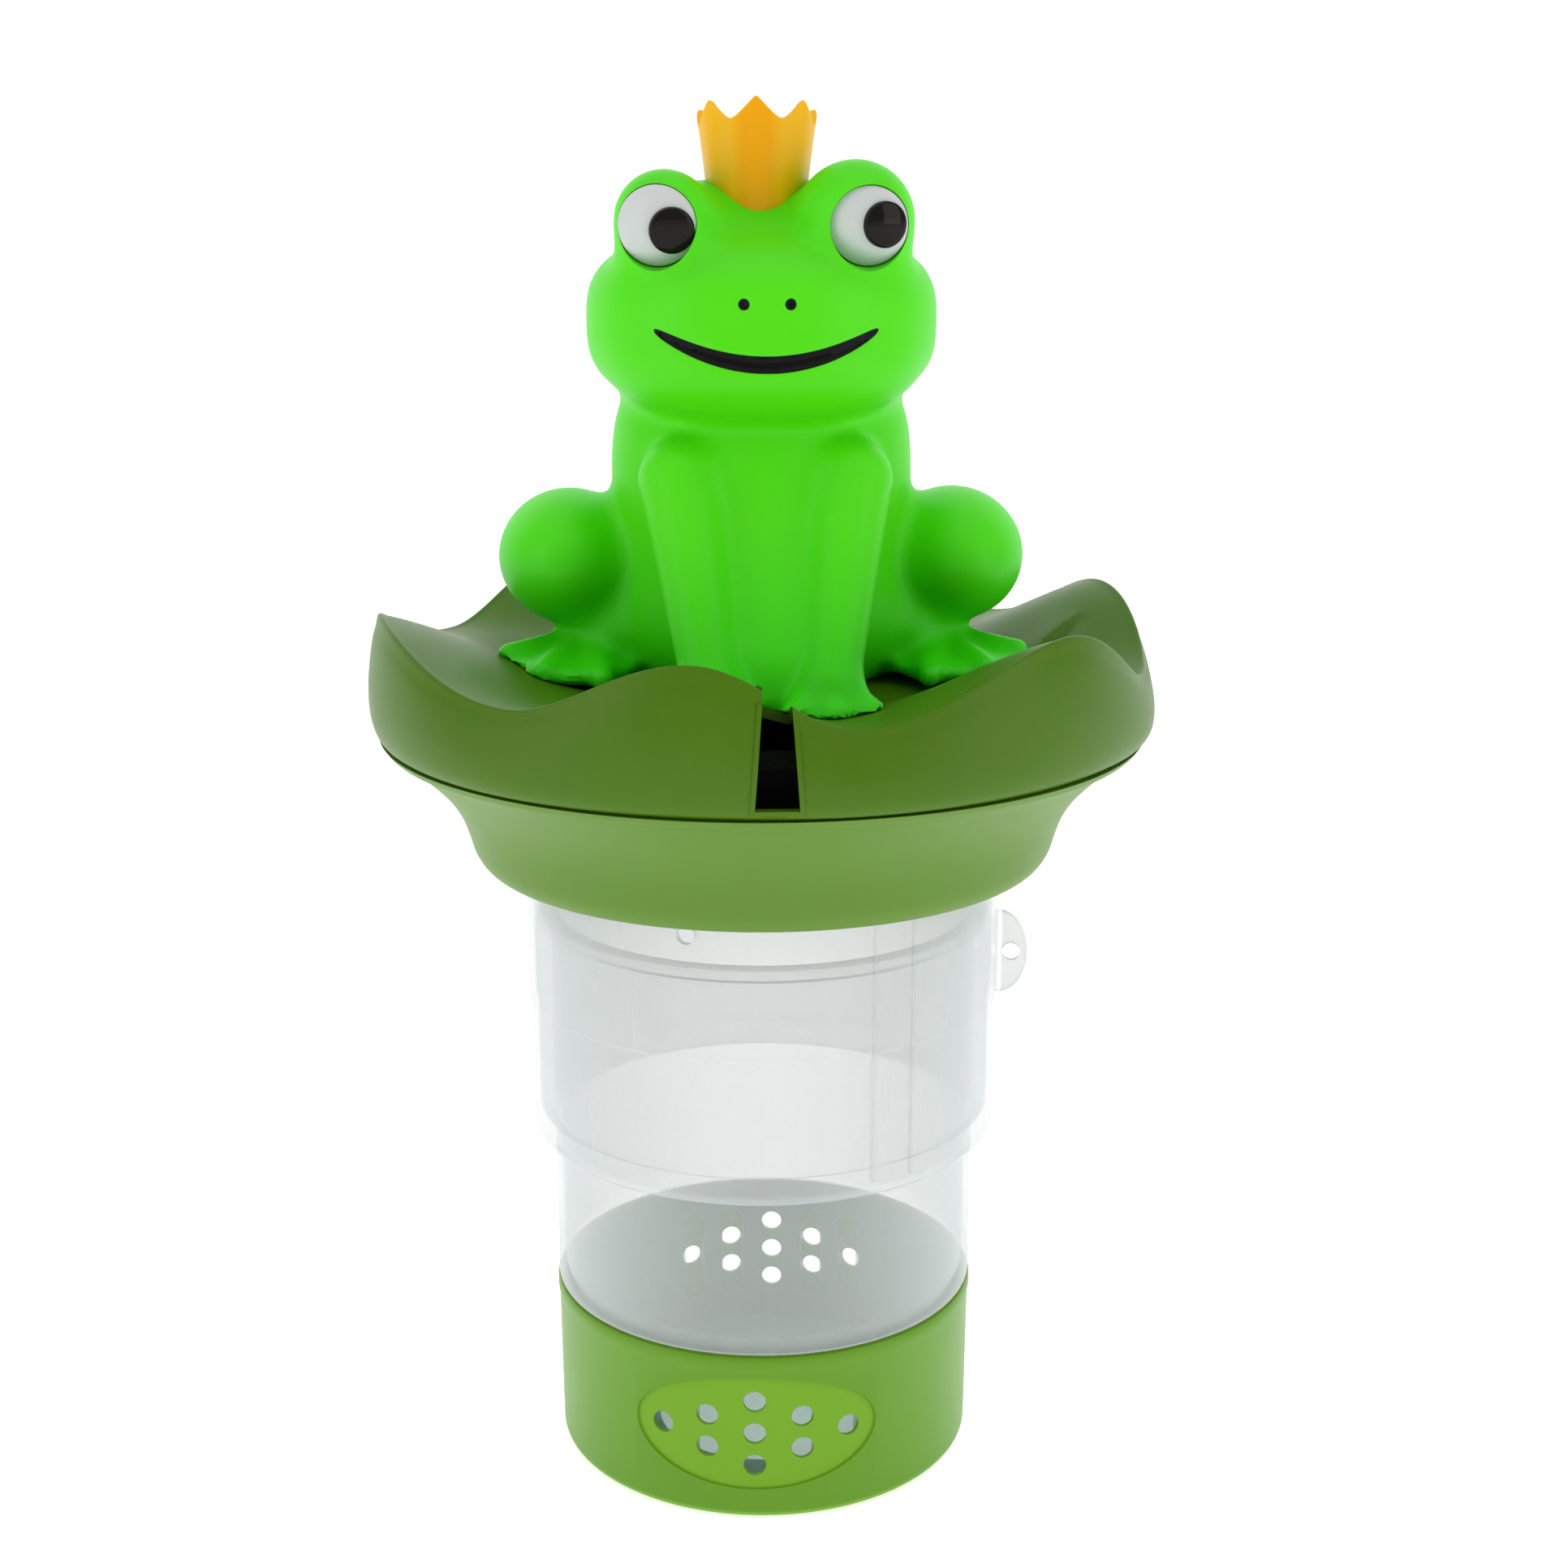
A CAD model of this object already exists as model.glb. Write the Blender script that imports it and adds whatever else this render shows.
import math

import bmesh
import bpy
import numpy as np
from mathutils import Matrix, Vector


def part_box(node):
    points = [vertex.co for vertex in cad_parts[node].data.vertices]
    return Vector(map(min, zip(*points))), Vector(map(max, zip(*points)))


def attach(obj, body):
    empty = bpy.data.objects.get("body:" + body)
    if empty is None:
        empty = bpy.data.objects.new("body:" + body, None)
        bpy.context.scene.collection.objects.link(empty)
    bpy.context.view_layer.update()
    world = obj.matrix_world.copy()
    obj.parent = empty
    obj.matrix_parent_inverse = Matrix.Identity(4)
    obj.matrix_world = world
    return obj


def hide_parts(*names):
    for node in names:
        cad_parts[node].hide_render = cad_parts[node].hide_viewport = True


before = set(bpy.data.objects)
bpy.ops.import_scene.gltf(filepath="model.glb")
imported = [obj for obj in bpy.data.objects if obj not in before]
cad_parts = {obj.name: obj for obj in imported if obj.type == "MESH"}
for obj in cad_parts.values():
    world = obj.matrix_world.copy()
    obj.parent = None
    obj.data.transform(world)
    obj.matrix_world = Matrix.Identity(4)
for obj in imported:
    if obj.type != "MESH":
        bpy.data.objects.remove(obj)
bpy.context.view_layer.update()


# The set: a white sweep that runs up behind the object, two large soft lights, a soft fill from above,
# and the camera, which looks slightly down at the middle of the object.
SWEEP_WHITE = (0.93, 0.93, 0.93)
CAMERA_PLACE = Vector((0.005, -0.5516, 0.3067))
CAMERA_PITCH = 14.6
CAMERA_LENS = 55.9
SWEEP_GLOW = 0.62
AIR_STRENGTH = 0.38
LIGHT_AIM = Vector((0, 0, 0.17))


def make_sweep():
    """A floor that curves up into a back wall."""
    mesh = bmesh.new()
    bend, reach, top = 1.2, 3.0, 5.0
    outline = [(-6.0, 0.0), (0.0, 0.0), (reach - bend, 0.0)]
    for step in range(1, 13):
        angle = math.radians(90 * step / 12)
        outline.append((reach - bend + bend * math.sin(angle), bend - bend * math.cos(angle)))
    outline.append((reach, top))
    rows = []
    for depth, height in outline:
        rows.append([mesh.verts.new((side, depth, height - 0.0001)) for side in (-7.0, 7.0)])
    for row, following in zip(rows, rows[1:]):
        mesh.faces.new((row[0], row[1], following[1], following[0]))
    data = bpy.data.meshes.new("studio_sweep")
    mesh.to_mesh(data)
    mesh.free()
    data.shade_smooth()
    sweep = bpy.data.objects.new("studio_sweep", data)
    bpy.context.collection.objects.link(sweep)
    paint = bpy.data.materials.new("sweep_white")
    paint.use_nodes = True
    shader = paint.node_tree.nodes["Principled BSDF"]
    shader.inputs["Base Color"].default_value = (*SWEEP_WHITE, 1)
    shader.inputs["Roughness"].default_value = 0.9
    shader.inputs["Specular IOR Level"].default_value = 0.1
    shader.inputs["Emission Color"].default_value = (1, 1, 1, 1)
    shader.inputs["Emission Strength"].default_value = SWEEP_GLOW
    data.materials.append(paint)


def add_softbox(name, place, size, power):
    """A large rectangular light that looks at the middle of the object."""
    lamp = bpy.data.lights.new(name, "AREA")
    lamp.shape = "RECTANGLE"
    lamp.size, lamp.size_y = size
    lamp.energy = power
    item = bpy.data.objects.new(name, lamp)
    item.location = place
    item.rotation_euler = (LIGHT_AIM - Vector(place)).to_track_quat("-Z", "Y").to_euler()
    bpy.context.collection.objects.link(item)


make_sweep()
add_softbox("softbox_left", (-1.3, -0.7, 0.75), (0.9, 1.4), 6.5)
add_softbox("softbox_right", (1.3, -0.7, 0.75), (0.9, 1.4), 6.5)
add_softbox("softbox_top", (0.0, -0.2, 1.6), (1.6, 1.6), 7)

world = bpy.data.worlds.new("studio_air")
bpy.context.scene.world = world
world.use_nodes = True
world.node_tree.nodes["Background"].inputs["Color"].default_value = (1, 1, 1, 1)
world.node_tree.nodes["Background"].inputs["Strength"].default_value = AIR_STRENGTH

camera_data = bpy.data.cameras.new("studio_camera")
camera_data.lens = CAMERA_LENS
camera_data.sensor_width = 36.0
camera_data.clip_start = 0.01
camera = bpy.data.objects.new("studio_camera", camera_data)
camera.location = CAMERA_PLACE
camera.rotation_euler = (math.radians(90 - CAMERA_PITCH), 0, 0)
bpy.context.collection.objects.link(camera)
bpy.context.scene.camera = camera
bpy.context.scene.view_settings.view_transform = "Standard"


# Base cup: injection-moulded green polypropylene, satin. A floor ring, an oval recess with nine dosing
# holes at the front and at the back, and a thin bead round the rim. The wall is thinner in the ovals, so they
# look lighter. The cup snaps onto the lower sleeve and turns on it.
CUP_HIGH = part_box("base_cup")[1]
CUP_RADIUS = CUP_HIGH.x
CUP_RIM = CUP_HIGH.z
CUP_WALL = 0.0021
CUP_FLOOR = 0.0022
CUP_FLOOR_OPENING = 0.0260
CUP_DRAFT = 0.0007
RECESS_DEPTH = 0.0011
RECESS_HEIGHT = 0.0222
RECESS_HALF_HEIGHT = 0.0143
RECESS_HALF_ANGLE = 34.0
STOP_START = 85.5
STOP_SWEEP = 74.0
CUP_GREEN = (0.122, 0.298, 0.010)
THIN_GREEN = (0.165, 0.375, 0.008)
HOLE_PITCH = 12.9
HOLE_RADIUS = 0.0026
HOLE_HEIGHTS = {-2: [0.022], -1: [0.018, 0.026], 0: [0.014, 0.022, 0.030], 1: [0.018, 0.026], 2: [0.022]}
PATTERN_ANGLES = [-2.0, 178.0]


def around(radius, degrees, height):
    """The point at a radius, an angle counted from the front (-Y) towards +X, and a height."""
    angle = math.radians(degrees)
    return Vector((radius * math.sin(angle), -radius * math.cos(angle), height))


def bridge(mesh, ring, following):
    """Faces between two closed rings of vertices; a ring of one vertex is a pole."""
    count = max(len(ring), len(following))
    if count == 1:
        return
    for i in range(count):
        j = (i + 1) % count
        corners = [
            ring[i % len(ring)], ring[j % len(ring)],
            following[j % len(following)], following[i % len(following)],
        ]
        mesh.faces.new(list(dict.fromkeys(corners)))


def turned(outline, segments=192, wave=None):
    """Closed solid of revolution from (radius, height) points; wave may move each point round the turn."""
    mesh = bmesh.new()
    rings = []
    for radius, height in outline:
        ring = []
        for i in range(1 if radius == 0 else segments):
            degrees = 360.0 * i / segments
            reach, level = wave(radius, height, degrees) if wave else (radius, height)
            ring.append(mesh.verts.new(around(reach, degrees, level)))
        rings.append(ring)
    for ring, following in zip(rings, rings[1:] + rings[:1]):
        bridge(mesh, ring, following)
    return mesh


def rounded(outline, radius, steps=4):
    """The closed outline with each corner off the axis turned into a small arc of about that radius."""
    result = []
    for i, corner in enumerate(outline):
        here = Vector(corner)
        before, after = Vector(outline[i - 1]), Vector(outline[(i + 1) % len(outline)])
        if here.x == 0:
            result.append(tuple(here))
            continue
        back, ahead = before - here, after - here
        reach = min(radius, back.length * 0.45, ahead.length * 0.45)
        start, end = here + back.normalized() * reach, here + ahead.normalized() * reach
        for step in range(steps + 1):
            t = step / steps
            point = start * (1 - t) ** 2 + here * 2 * t * (1 - t) + end * t ** 2
            result.append(tuple(point))
    return result


def add_piece(name, mesh, material, body, replaced=(), smooth_angle=35):
    """Turn a bmesh into a shown piece that rides on a body."""
    bmesh.ops.recalc_face_normals(mesh, faces=mesh.faces)
    data = bpy.data.meshes.new(name)
    mesh.to_mesh(data)
    mesh.free()
    data.shade_smooth()
    data.set_sharp_from_angle(angle=math.radians(smooth_angle))
    item = bpy.data.objects.new(name, data)
    bpy.context.collection.objects.link(item)
    data.materials.append(material)
    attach(item, body)
    if replaced:
        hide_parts(*replaced)
    return item


def apply_cuts(item, cutters, operation="DIFFERENCE", smooth_angle=35):
    """Cut closed shapes from a piece, or join them to it, and keep only the result."""
    for cutter in cutters:
        bmesh.ops.recalc_face_normals(cutter, faces=cutter.faces)
        data = bpy.data.meshes.new("cutter")
        cutter.to_mesh(data)
        cutter.free()
        tool = bpy.data.objects.new("cutter", data)
        bpy.context.collection.objects.link(tool)
        modifier = item.modifiers.new("cut", "BOOLEAN")
        modifier.operation = operation
        modifier.object = tool
        graph = bpy.context.evaluated_depsgraph_get()
        result = bpy.data.meshes.new_from_object(item.evaluated_get(graph))
        item.modifiers.clear()
        item.data = result
        bpy.data.objects.remove(tool, do_unlink=True)
    item.data.shade_smooth()
    item.data.set_sharp_from_angle(angle=math.radians(smooth_angle))


def ellipse(across, up, height, steps):
    """Points of (across, height) round an ellipse."""
    angles = [2 * math.pi * i / steps for i in range(steps)]
    return [(across * math.cos(a), height + up * math.sin(a)) for a in angles]


def stadium(width, low, high, steps):
    """Points of (across, height) round an upright slot with round ends."""
    half = width / 2
    tops = [math.pi * i / steps for i in range(steps + 1)]
    points = [(half * math.cos(a), high - half + half * math.sin(a)) for a in tops]
    return points + [(-half * math.cos(a), low + half - half * math.sin(a)) for a in tops]


def box_outline(left, right, low, high):
    """The four corners of an upright rectangle."""
    return [(left, low), (right, low), (right, high), (left, high)]


def loft(mesh, rings):
    """Add the walls between rings of vertices in a row, and a cap on each end."""
    for ring, following in zip(rings, rings[1:]):
        bridge(mesh, ring, following)
    mesh.faces.new(rings[0])
    mesh.faces.new(rings[-1])


def radial_prism(mesh, outline, degrees, inner, outer):
    """Add a prism that runs outwards from the axis."""
    outward, sideways = around(1, degrees, 0), around(1, degrees + 90, 0)
    rings = []
    for radius in (inner, outer):
        middle = outward * radius
        rings.append([mesh.verts.new(middle + sideways * x + Vector((0, 0, z))) for x, z in outline])
    loft(mesh, rings)


def arc_bar(mesh, section, start, sweep, steps):
    """Add a bar that carries a (radius, height) section round the axis."""
    loops = []
    for radius, height in section:
        angles = [start + sweep * i / steps for i in range(steps + 1)]
        loops.append([mesh.verts.new(around(radius, angle, height)) for angle in angles])
    for loop, following in zip(loops, loops[1:] + loops[:1]):
        for i in range(steps):
            mesh.faces.new((loop[i], loop[i + 1], following[i + 1], following[i]))
    for end in (0, -1):
        mesh.faces.new([loop[end] for loop in loops])


def curved_disc(mesh, centre, half_angle, height, half_height, inner, outer, steps=72, rings=8):
    """Add an oval plug that follows the cup's wall and widens a little outwards."""
    sides = []
    for radius, grow in ((inner, 0.985), (outer, 1.02)):
        loops = [[mesh.verts.new(around(radius, centre, height))]]
        for k in range(1, rings + 1):
            reach = grow * k / rings
            loop = []
            for i in range(steps):
                angle = 2 * math.pi * i / steps
                level = height + half_height * reach * math.sin(angle)
                degrees = centre + half_angle * reach * math.cos(angle)
                loop.append(mesh.verts.new(around(radius, degrees, level)))
            loops.append(loop)
        for loop, following in zip(loops, loops[1:]):
            bridge(mesh, loop, following)
        sides.append(loops[-1])
    bridge(mesh, *sides)


def new_group(name, inputs, outputs):
    """An empty shader node group with named float, colour and vector sockets."""
    group = bpy.data.node_groups.new(name, "ShaderNodeTree")
    kinds = {"f": "NodeSocketFloat", "c": "NodeSocketColor", "v": "NodeSocketVector"}
    for label, kind, value in inputs:
        socket = group.interface.new_socket(label, in_out="INPUT", socket_type=kinds[kind])
        if value is not None:
            socket.default_value = value
    for label, kind in outputs:
        group.interface.new_socket(label, in_out="OUTPUT", socket_type=kinds[kind])
    return group, group.nodes.new("NodeGroupInput"), group.nodes.new("NodeGroupOutput")


def make_moulded_finish():
    """Moulded plastic: faint cloudy colour drift, fine spark texture and soft flow variation in the gloss."""
    group, given, result = new_group(
        "moulded_finish",
        [("Colour", "c", (1, 1, 1, 1)), ("Drift", "f", 0.06), ("Roughness", "f", 0.4),
         ("Grain Size", "f", 0.0004), ("Grain Depth", "f", 0.05)],
        [("Colour", "c"), ("Roughness", "f"), ("Normal", "v")],
    )
    nodes, links = group.nodes, group.links
    place = nodes.new("ShaderNodeTexCoord")
    cloud = nodes.new("ShaderNodeTexNoise")
    cloud.inputs["Scale"].default_value = 45.0
    cloud.inputs["Detail"].default_value = 3.0
    links.new(place.outputs["Object"], cloud.inputs["Vector"])
    shift = nodes.new("ShaderNodeMapRange")
    shift.inputs["To Min"].default_value = -1.0
    shift.inputs["To Max"].default_value = 1.0
    links.new(cloud.outputs["Fac"], shift.inputs["Value"])
    scaled = nodes.new("ShaderNodeMath")
    scaled.operation = "MULTIPLY_ADD"
    scaled.inputs[2].default_value = 1.0
    links.new(shift.outputs["Result"], scaled.inputs[0])
    links.new(given.outputs["Drift"], scaled.inputs[1])
    tint = nodes.new("ShaderNodeVectorMath")
    tint.operation = "SCALE"
    links.new(given.outputs["Colour"], tint.inputs[0])
    links.new(scaled.outputs["Value"], tint.inputs["Scale"])
    links.new(tint.outputs["Vector"], result.inputs["Colour"])
    gloss = nodes.new("ShaderNodeMath")
    gloss.operation = "MULTIPLY_ADD"
    gloss.inputs[1].default_value = 0.06
    links.new(shift.outputs["Result"], gloss.inputs[0])
    links.new(given.outputs["Roughness"], gloss.inputs[2])
    links.new(gloss.outputs["Value"], result.inputs["Roughness"])
    size = nodes.new("ShaderNodeMath")
    size.operation = "DIVIDE"
    size.inputs[0].default_value = 1.0
    links.new(given.outputs["Grain Size"], size.inputs[1])
    grain = nodes.new("ShaderNodeTexNoise")
    grain.inputs["Detail"].default_value = 2.0
    links.new(place.outputs["Object"], grain.inputs["Vector"])
    links.new(size.outputs["Value"], grain.inputs["Scale"])
    bump = nodes.new("ShaderNodeBump")
    bump.inputs["Distance"].default_value = 0.00006
    links.new(given.outputs["Grain Depth"], bump.inputs["Strength"])
    links.new(grain.outputs["Fac"], bump.inputs["Height"])
    links.new(bump.outputs["Normal"], result.inputs["Normal"])
    return group


MOULDED_FINISH = make_moulded_finish()


def moulded_plastic(name, colour, roughness, drift=0.05, grain_size=0.0004, grain_depth=0.15):
    """A plastic with the moulded finish; returns the material, its shader and its finish node."""
    material = bpy.data.materials.new(name)
    material.use_nodes = True
    tree = material.node_tree
    shader = tree.nodes["Principled BSDF"]
    finish = tree.nodes.new("ShaderNodeGroup")
    finish.node_tree = MOULDED_FINISH
    finish.inputs["Colour"].default_value = (*colour, 1)
    finish.inputs["Drift"].default_value = drift
    finish.inputs["Roughness"].default_value = roughness
    finish.inputs["Grain Size"].default_value = grain_size
    finish.inputs["Grain Depth"].default_value = grain_depth
    tree.links.new(finish.outputs["Colour"], shader.inputs["Base Color"])
    tree.links.new(finish.outputs["Roughness"], shader.inputs["Roughness"])
    tree.links.new(finish.outputs["Normal"], shader.inputs["Normal"])
    return material, shader, finish


def math_chain(tree, steps):
    """Wire (operation, inputs) math steps; an input is a number, a socket or an earlier step's index."""
    made = []
    for operation, *values in steps:
        node = tree.nodes.new("ShaderNodeMath")
        node.operation = operation
        for socket, value in zip(node.inputs, values):
            if isinstance(value, str):
                tree.links.new(made[int(value)], socket)
            elif isinstance(value, (int, float)):
                socket.default_value = value
            else:
                tree.links.new(value, socket)
        made.append(node.outputs["Value"])
    return made[-1]


def object_axes(tree):
    """The X, Y and Z sockets of the object's own coordinates."""
    place = tree.nodes.new("ShaderNodeTexCoord")
    split = tree.nodes.new("ShaderNodeSeparateXYZ")
    tree.links.new(place.outputs["Object"], split.inputs["Vector"])
    return split.outputs


def ramp(tree, value, start, end, low=0.0, high=1.0):
    """A value that goes from low to high while its input goes from start to end."""
    node = tree.nodes.new("ShaderNodeMapRange")
    node.inputs["From Min"].default_value = start
    node.inputs["From Max"].default_value = end
    node.inputs["To Min"].default_value = low
    node.inputs["To Max"].default_value = high
    tree.links.new(value, node.inputs["Value"])
    return node.outputs["Result"]


def tinted(tree, factor, colour, other, blend_type="MIX"):
    """A colour socket mixed with another colour by a factor."""
    node = tree.nodes.new("ShaderNodeMix")
    node.data_type = "RGBA"
    node.blend_type = blend_type
    node.inputs["B"].default_value = (*other, 1)
    tree.links.new(factor, node.inputs["Factor"])
    tree.links.new(colour, node.inputs["A"])
    return node.outputs["Result"]


def make_base_cup():
    """The cup, cut through at its holes, with a slightly sunken oval round them."""
    material, shader, finish = moulded_plastic("cup_green_plastic", CUP_GREEN, 0.36, drift=0.04)
    shader.inputs["Specular IOR Level"].default_value = 0.25
    tree = material.node_tree
    axes = object_axes(tree)
    from_axis = math_chain(tree, [
        ("MULTIPLY", axes["X"], axes["X"]), ("MULTIPLY", axes["Y"], axes["Y"]),
        ("ADD", "0", "1"), ("SQRT", "2"),
    ])
    thin = ramp(tree, from_axis, CUP_RADIUS - CUP_DRAFT - 0.0001, CUP_RADIUS - RECESS_DEPTH + 0.0001)
    tree.links.new(tinted(tree, thin, finish.outputs["Colour"], THIN_GREEN), shader.inputs["Base Color"])
    bottom = CUP_RADIUS - CUP_DRAFT
    outline = [(CUP_FLOOR_OPENING, 0.0)]
    for i in range(9):
        angle = math.radians(-90 + 90 * i / 8)
        outline.append((bottom - 0.003 + 0.003 * math.cos(angle), 0.003 + 0.003 * math.sin(angle)))
    bead = CUP_RIM - 0.0030
    outline += [(CUP_RADIUS - 0.00030, bead - 0.0005), (CUP_RADIUS, bead), (CUP_RADIUS, CUP_RIM - 0.0008)]
    outline += [(CUP_RADIUS - 0.0003, CUP_RIM - 0.0002), (CUP_RADIUS - 0.0008, CUP_RIM)]
    outline += [(CUP_RADIUS - CUP_WALL + 0.0004, CUP_RIM), (CUP_RADIUS - CUP_WALL, CUP_RIM - 0.0004)]
    outline += [(CUP_RADIUS - CUP_WALL, CUP_FLOOR + 0.0006), (CUP_RADIUS - CUP_WALL - 0.0006, CUP_FLOOR)]
    outline += [(CUP_FLOOR_OPENING + 0.0004, CUP_FLOOR), (CUP_FLOOR_OPENING, CUP_FLOOR - 0.0004)]
    cup = add_piece("dosing_cup", turned(outline, 240), material, "base", ["base_cup"])
    recesses, holes, notch = bmesh.new(), bmesh.new(), bmesh.new()
    for pattern in PATTERN_ANGLES:
        curved_disc(recesses, pattern, RECESS_HALF_ANGLE, RECESS_HEIGHT, RECESS_HALF_HEIGHT,
                    CUP_RADIUS - RECESS_DEPTH, CUP_RADIUS + 0.002)
        for column, heights in HOLE_HEIGHTS.items():
            for height in heights:
                outline = ellipse(HOLE_RADIUS, HOLE_RADIUS, height, 28)
                radial_prism(holes, outline, pattern + column * HOLE_PITCH, 0.044, 0.054)
    arc_bar(notch, box_outline(0.020, 0.0305, -0.001, 0.006), STOP_START, STOP_SWEEP, 20)
    apply_cuts(cup, [recesses, holes, notch])


make_base_cup()


# Lower sleeve: clear polypropylene, injection moulded, slightly cloudy. Five round-topped slots behind the
# cup's holes front and back, a floor, a shoulder that sits on the cup's rim, and a flange at the top.
LOWER_LOW, LOWER_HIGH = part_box("lower_sleeve")
FLANGE_RADIUS = LOWER_HIGH.x
LOWER_TOP = LOWER_HIGH.z
LOWER_RADIUS = 0.0501
LOWER_WALL = 0.0016
FLANGE_DEPTH = 0.003
CLEAR_TINT = (0.80, 0.83, 0.82)
CLEAR_EDGE = (0.55, 0.60, 0.615)
EDGE_CLOUD = 0.55
CUP_CAST = (0.60, 0.93, 0.84)


def clear_plastic(name, cloud):
    """Cloudy clear plastic, see-through where it is looked at squarely and denser where seen edge on."""
    material, shader, finish = moulded_plastic(name, CLEAR_TINT, 0.22, drift=0.02, grain_depth=0.06)
    tree = material.node_tree
    facing = tree.nodes.new("ShaderNodeLayerWeight")
    facing.inputs["Blend"].default_value = 0.35
    colour = tinted(tree, facing.outputs["Facing"], finish.outputs["Colour"], CLEAR_EDGE)
    veil = ramp(tree, facing.outputs["Facing"], 0.0, 1.0, cloud, cloud + EDGE_CLOUD)
    tree.links.new(colour, shader.inputs["Base Color"])
    tree.links.new(veil, shader.inputs["Alpha"])
    return material, shader, colour, veil


def make_lower_sleeve():
    """The telescoping sleeve with its slots cut through; below the cup's rim it takes on a green cast."""
    material, shader, colour, _ = clear_plastic("clear_polypropylene_lower", 0.20)
    tree = material.node_tree
    depth = ramp(tree, object_axes(tree)["Z"], CUP_RIM, CUP_RIM - 0.003)
    tree.links.new(tinted(tree, depth, colour, CUP_CAST, "MULTIPLY"), shader.inputs["Base Color"])
    spigot = CUP_RADIUS - CUP_WALL - 0.0003
    bore = LOWER_RADIUS - LOWER_WALL
    shoulder = CUP_RIM + 0.0003
    floor = LOWER_LOW.z + 0.0022
    outline = [(0.0, floor), (spigot, floor), (spigot, shoulder), (LOWER_RADIUS, shoulder)]
    outline += [(LOWER_RADIUS, LOWER_TOP - FLANGE_DEPTH), (FLANGE_RADIUS, LOWER_TOP - FLANGE_DEPTH)]
    outline += [(FLANGE_RADIUS, LOWER_TOP)]
    outline += [(bore, LOWER_TOP), (bore, shoulder + 0.004), (spigot - LOWER_WALL, shoulder - 0.001)]
    outline += [(spigot - LOWER_WALL, floor + 0.0016), (0.0, floor + 0.0016)]
    shell = turned(rounded(outline, 0.0009))
    sleeve = add_piece("telescoping_sleeve", shell, material, "canister", ["lower_sleeve"])
    slots = bmesh.new()
    opening = stadium(0.0052, 0.0100, 0.0345, 8)
    for pattern in PATTERN_ANGLES:
        for column in HOLE_HEIGHTS:
            radial_prism(slots, opening, pattern + column * HOLE_PITCH, 0.040, 0.0495)
    apply_cuts(sleeve, [slots])


make_lower_sleeve()


# Upper sleeve: the same clear polypropylene. A thick guide ring at the bottom, a small step, three lock
# lugs at the top, a flat ear with a hole for a tether line, a vent hole and an upright guide strip.
UPPER_LOW, UPPER_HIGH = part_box("upper_sleeve")
UPPER_RADIUS = 0.0557
UPPER_WALL = 0.0017
UPPER_TOP = UPPER_HIGH.z
GUIDE_LOW = UPPER_LOW.z
STEP_HEIGHT = 0.1145
GUIDE_CURVE = 0.0042
EAR_ANGLE = 84.0
EAR_HEIGHT = 0.1240
EAR_CLOUD = 0.35
SMALL_HOLE = 0.0021
LOCK_ANGLES = (30.0, 150.0, 270.0)


def make_upper_sleeve():
    """The outer sleeve with its ear, lugs and strip joined on and its holes cut."""
    material, shader, _, veil = clear_plastic("clear_polypropylene_upper", 0.16)
    tree = material.node_tree
    on_ear = ramp(tree, object_axes(tree)["X"], UPPER_RADIUS + 0.0002, UPPER_RADIUS + 0.0008, 0.0, EAR_CLOUD)
    denser = math_chain(tree, [("ADD", veil, on_ear), ("MINIMUM", "0", 1.0)])
    tree.links.new(denser, shader.inputs["Alpha"])
    below = UPPER_RADIUS - 0.0005
    guide = LOWER_RADIUS + 0.0004
    outline = [(guide, GUIDE_LOW + 0.0004), (guide + 0.0004, GUIDE_LOW)]
    for i in range(9):
        angle = math.radians(-78 + 78 * i / 8)
        across = below - GUIDE_CURVE + GUIDE_CURVE * math.cos(angle)
        outline.append((across, GUIDE_LOW + 0.0046 + GUIDE_CURVE * math.sin(angle)))
    outline += [(below, STEP_HEIGHT), (UPPER_RADIUS, STEP_HEIGHT + 0.0006), (UPPER_RADIUS, UPPER_TOP)]
    outline += [(UPPER_RADIUS - UPPER_WALL, UPPER_TOP), (UPPER_RADIUS - UPPER_WALL, STEP_HEIGHT + 0.001)]
    outline += [(below - UPPER_WALL, STEP_HEIGHT), (below - UPPER_WALL, 0.0868), (guide + 0.0008, 0.0860)]
    outline += [(guide, 0.0854)]
    sleeve = add_piece("outer_sleeve", turned(outline, 240), material, "sleeve", ["upper_sleeve"])

    ear = bmesh.new()
    outward, sideways = around(1, EAR_ANGLE, 0), around(1, EAR_ANGLE + 90, 0)
    rings = []
    for side, shrink in ((-0.0009, 0.97), (-0.0006, 1.0), (0.0006, 1.0), (0.0009, 0.97)):
        ring = []
        for x, z in ellipse(0.0066 * shrink, 0.0100 * shrink, EAR_HEIGHT, 48):
            reach = max(0.0560 + x, UPPER_RADIUS - 0.0009)
            ring.append(ear.verts.new(outward * reach + sideways * side + Vector((0, 0, z))))
        rings.append(ring)
    loft(ear, rings)
    lugs = bmesh.new()
    for angle in LOCK_ANGLES:
        arc_bar(lugs, box_outline(0.0549, 0.0582, 0.1610, 0.1640), angle - 10, 20, 10)
    ribs = bmesh.new()
    for angle in (26.5, 36.9):
        radial_prism(ribs, box_outline(-0.0003, 0.0003, 0.0845, 0.1600), angle, 0.0545, 0.0560)
    apply_cuts(sleeve, [ear, lugs, ribs], "UNION")

    holes = bmesh.new()
    radial_prism(holes, ellipse(SMALL_HOLE, SMALL_HOLE, 0.1432, 28), -17.0, 0.050, 0.060)
    rings = []
    for side in (-0.003, 0.003):
        ring = []
        for x, z in ellipse(SMALL_HOLE, SMALL_HOLE, EAR_HEIGHT, 28):
            ring.append(holes.verts.new(outward * (0.0588 + x) + sideways * side + Vector((0, 0, z))))
        rings.append(ring)
    loft(holes, rings)
    apply_cuts(sleeve, [holes])


make_upper_sleeve()


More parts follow.
